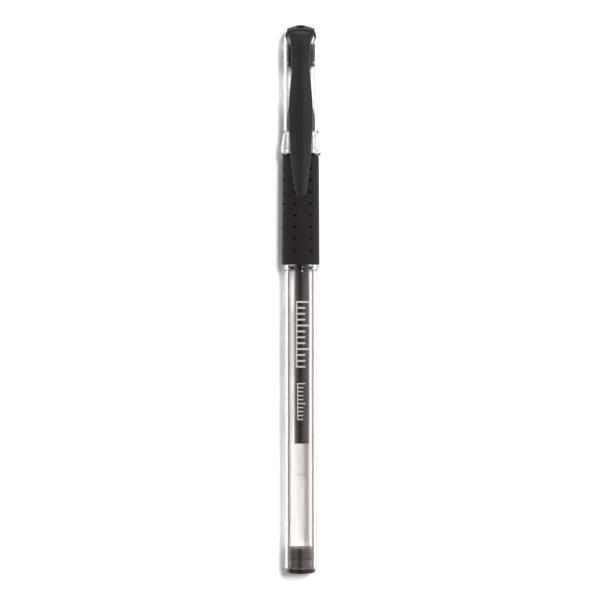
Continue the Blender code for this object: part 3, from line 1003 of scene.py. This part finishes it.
# Crown sections, back to front: place, top at the sides, half width and the rise to the middle.
# Its underside steps down at STEP_Y, in front of the cap tube's wall, into the notch.
HEAD_UNDER, FRONT_UNDER, STEP_Y = 148.1, 146.0, -1.3
CROWN_ROWS = (
    (3.72, 148.50, 0.80, 0.10),
    (3.45, 148.62, 1.60, 0.32),
    (2.92, 148.66, 2.43, 0.58),
    (2.20, 148.66, 3.10, 0.76),
    (1.30, 148.64, 3.57, 0.85),
    (0.50, 148.62, 3.77, 0.88),
    (0.00, 148.56, 3.80, 0.80),
    (-0.70, 148.45, 3.79, 0.60),
    (-1.34, 148.28, 3.77, 0.41),
    (-2.00, 147.90, 3.73, 0.37),
    (-2.50, 147.52, 3.69, 0.33),
    (-2.93, 146.99, 3.64, 0.28),
)
rings = []
for y, top, half_width, crowning in smooth_rows(CROWN_ROWS, 4):
    under = HEAD_UNDER if y > STEP_Y else FRONT_UNDER
    rings.append(section_ring((y, top), (y, under), half_width, crowning))
crown = lofted("crown_black", rings)
STEM_R, STEM_TOP, STEM_LOW = 2.85, 148.3, crown_low.z / MM
stem = turned(
    "stem",
    [(0.0, STEM_TOP), (2.0, STEM_TOP), (STEM_R, STEM_TOP - 1.1), (STEM_R, STEM_LOW, 0.15), (0.0, STEM_LOW)],
    CORE,
    closed=False,
)
cut(crown, stem, "UNION")
# The vent's cutter reaches past the crown's top and its stem's lower end.
VENT_R, VENT_Y, VENT_TOP, VENT_LOW = 1.15, -0.8, 152.0, 143.0
vent = turned(
    "vent",
    [(0.0, VENT_TOP), (VENT_R, VENT_TOP), (VENT_R, VENT_LOW), (0.0, VENT_LOW)],
    CORE,
    closed=False,
    centre=(0.0, VENT_Y),
)
cut(crown, vent)
place(crown, "cap", "black_gloss", crown_black, "cap_crown")

inner = turned(
    "inner_cap_dark",
    [
        (0.0, inner_high),
        (inner_reach, inner_high, 0.15),
        (inner_reach, inner_low + 2.0, 0.12),
        (3.1, inner_low + 1.95, 0.06),
        (3.1, inner_low + 1.6, 0.06),
        (3.85, inner_low + 1.5, 0.1),
        (3.85, inner_low + 0.85, 0.1),
        (2.85, inner_low + 0.8, 0.06),
        (2.75, inner_low, 0.12),
        (1.7, inner_low, 0.12),
        (1.5, inner_low + 0.3, 0.1),
        (1.5, seal_high + 0.1, 0.06),
        (0.0, seal_high + 0.1),
    ],
    CORE,
    closed=False,
)
dark = black_plastic(
    "inner cap plastic",
    base=(0.009, 0.0065, 0.0055),
    light=(0.013, 0.010, 0.009),
    rough=0.45,
    grain=0.004,
    gloss=0.05,
)
place(inner, "cap", "dark_plastic", dark, "inner_cap")

seal = turned(
    "tip_seal_rubber",
    [(0.0, seal_high), (seal_reach, seal_high, 0.06), (seal_reach, seal_low, 0.2), (0.0, seal_low)],
    CORE,
    closed=False,
)
soft = plain_plastic("seal rubber", (0.3, 0.29, 0.27), (0.38, 0.37, 0.34), 0.6)
place(seal, "cap", "seal_rubber", soft, "tip_seal")

# ---------------------------------------------------------------- stage, light and camera


def stage_surface():
    made, tree, shader = nodes_of("pale board")
    shader.inputs["Roughness"].default_value = 0.9
    shader.inputs["Specular IOR Level"].default_value = 0.0
    grain = noise(tree, coordinates(tree), 0.6, 3.0)
    tree.links.new(mixed(tree, grain, (0.9, 0.9, 0.9), (0.92, 0.92, 0.92)), shader.inputs["Base Color"])
    geometry = tree.nodes.new("ShaderNodeNewGeometry")
    through = tree.nodes.new("ShaderNodeBsdfTransparent")
    either = tree.nodes.new("ShaderNodeMixShader")
    output = tree.nodes["Material Output"]
    tree.links.new(geometry.outputs["Backfacing"], either.inputs["Fac"])
    tree.links.new(shader.outputs["BSDF"], either.inputs[1])
    tree.links.new(through.outputs["BSDF"], either.inputs[2])
    tree.links.new(either.outputs["Shader"], output.inputs["Surface"])
    return made


BOARD, BOARD_GAP = 0.6, 0.0004
board_y = cad_high.y + BOARD_GAP
board_mesh = bpy.data.meshes.new("board")
middle = (cad_low.z + cad_high.z) / 2
corners = ((-BOARD, -BOARD), (BOARD, -BOARD), (BOARD, BOARD), (-BOARD, BOARD))
board_mesh.from_pydata([(x, board_y, middle + z) for x, z in corners], [], [(0, 1, 2, 3)])
board = bpy.data.objects.new("board", board_mesh)
bpy.context.scene.collection.objects.link(board)
board_mesh.materials.append(stage_surface())

world = bpy.data.worlds.new("studio")
bpy.context.scene.world = world
world.use_nodes = True
tree = world.node_tree
tree.nodes.clear()


def smooth_step(value, start, end, low, high):
    made = tree.nodes.new("ShaderNodeMapRange")
    made.interpolation_type = "SMOOTHSTEP"
    made.inputs["From Min"].default_value = start
    made.inputs["From Max"].default_value = end
    made.inputs["To Min"].default_value = low
    made.inputs["To Max"].default_value = high
    tree.links.new(value, made.inputs["Value"])
    return made.outputs["Result"]


def times(a, b):
    made = tree.nodes.new("ShaderNodeMath")
    made.operation = "MULTIPLY"
    tree.links.new(a, made.inputs[0])
    tree.links.new(b, made.inputs[1])
    return made.outputs["Value"]


# What shiny surfaces reflect, by angle round the pen from straight in front: a dark place where
# one stands to look, bright walls to each side, a dim room beyond the left one and a paler one on the right
coord = tree.nodes.new("ShaderNodeTexCoord")
split = tree.nodes.new("ShaderNodeSeparateXYZ")
tree.links.new(coord.outputs["Generated"], split.inputs["Vector"])
turn = tree.nodes.new("ShaderNodeMath")
turn.operation = "ARCTAN2"
back = tree.nodes.new("ShaderNodeMath")
back.operation = "MULTIPLY"
back.inputs[1].default_value = -1.0
tree.links.new(split.outputs["Y"], back.inputs[0])
tree.links.new(split.outputs["X"], turn.inputs[0])
tree.links.new(back.outputs["Value"], turn.inputs[1])
around = tree.nodes.new("ShaderNodeMapRange")
around.inputs["From Min"].default_value = -math.pi
around.inputs["From Max"].default_value = math.pi
tree.links.new(turn.outputs["Value"], around.inputs["Value"])
room = tree.nodes.new("ShaderNodeValToRGB")
ROOM = (
    (-180, 0.12, 0.11, 0.105),
    (-85, 0.12, 0.11, 0.105),
    (-66, 0.55, 0.50, 0.47),
    (-36, 0.66, 0.60, 0.56),
    (-14, 0.20, 0.16, 0.13),
    (-5, 0.06, 0.12, 0.16),
    (3, 0.06, 0.12, 0.16),
    (13, 0.55, 0.48, 0.43),
    (30, 0.80, 0.74, 0.70),
    (62, 1.0, 0.95, 0.90),
    (85, 0.6, 0.56, 0.53),
    (180, 0.45, 0.43, 0.41),
)
while len(room.color_ramp.elements) < len(ROOM):
    room.color_ramp.elements.new(0.5)
for stop, (angle, *colour) in zip(room.color_ramp.elements, ROOM):
    stop.position = angle / 360 + 0.5
    stop.color = (*colour, 1.0)
tree.links.new(around.outputs["Result"], room.inputs["Fac"])
seen = tree.nodes.new("ShaderNodeBackground")
above = smooth_step(split.outputs["Z"], 0.35, 0.7, 1.0, 0.5)
below = smooth_step(split.outputs["Z"], -0.7, -0.4, 0.4, 1.0)
tree.links.new(times(above, below), seen.inputs["Strength"])
tree.links.new(room.outputs["Color"], seen.inputs["Color"])

# What lights the board and the matt surfaces
PLAIN_LIGHT = 0.52
plain = tree.nodes.new("ShaderNodeBackground")
plain.inputs["Strength"].default_value = PLAIN_LIGHT
path = tree.nodes.new("ShaderNodeLightPath")
pick = tree.nodes.new("ShaderNodeMixShader")
out = tree.nodes.new("ShaderNodeOutputWorld")
tree.links.new(path.outputs["Is Glossy Ray"], pick.inputs["Fac"])
tree.links.new(plain.outputs["Background"], pick.inputs[1])
tree.links.new(seen.outputs["Background"], pick.inputs[2])
tree.links.new(pick.outputs["Shader"], out.inputs["Surface"])


def area_light(name, at, toward, size, power):
    data = bpy.data.lights.new(name, "AREA")
    data.shape = "RECTANGLE"
    data.size, data.size_y = size
    data.energy = power
    made = bpy.data.objects.new(name, data)
    bpy.context.scene.collection.objects.link(made)
    made.location = at
    made.rotation_euler = (Vector(toward) - Vector(at)).to_track_quat("-Z", "Y").to_euler()
    return made


KEY_PLACE, KEY_SIZE, KEY_POWER = (0.20, -0.84, middle + 0.17), (0.17, 0.22), 9.0
key = area_light("key", KEY_PLACE, (0, 0, middle), KEY_SIZE, KEY_POWER)
key.visible_glossy = False

LENS, SENSOR = 109.8, 36.0
CAMERA_PLACE = (-0.0002, -0.5, 0.0743)
camera_data = bpy.data.cameras.new("camera")
camera_data.lens = LENS
camera_data.sensor_width = SENSOR
camera = bpy.data.objects.new("camera", camera_data)
bpy.context.scene.collection.objects.link(camera)
camera.location = CAMERA_PLACE
camera.rotation_euler = (math.pi / 2, 0, 0)
bpy.context.scene.camera = camera
bpy.context.scene.view_settings.view_transform = "Standard"
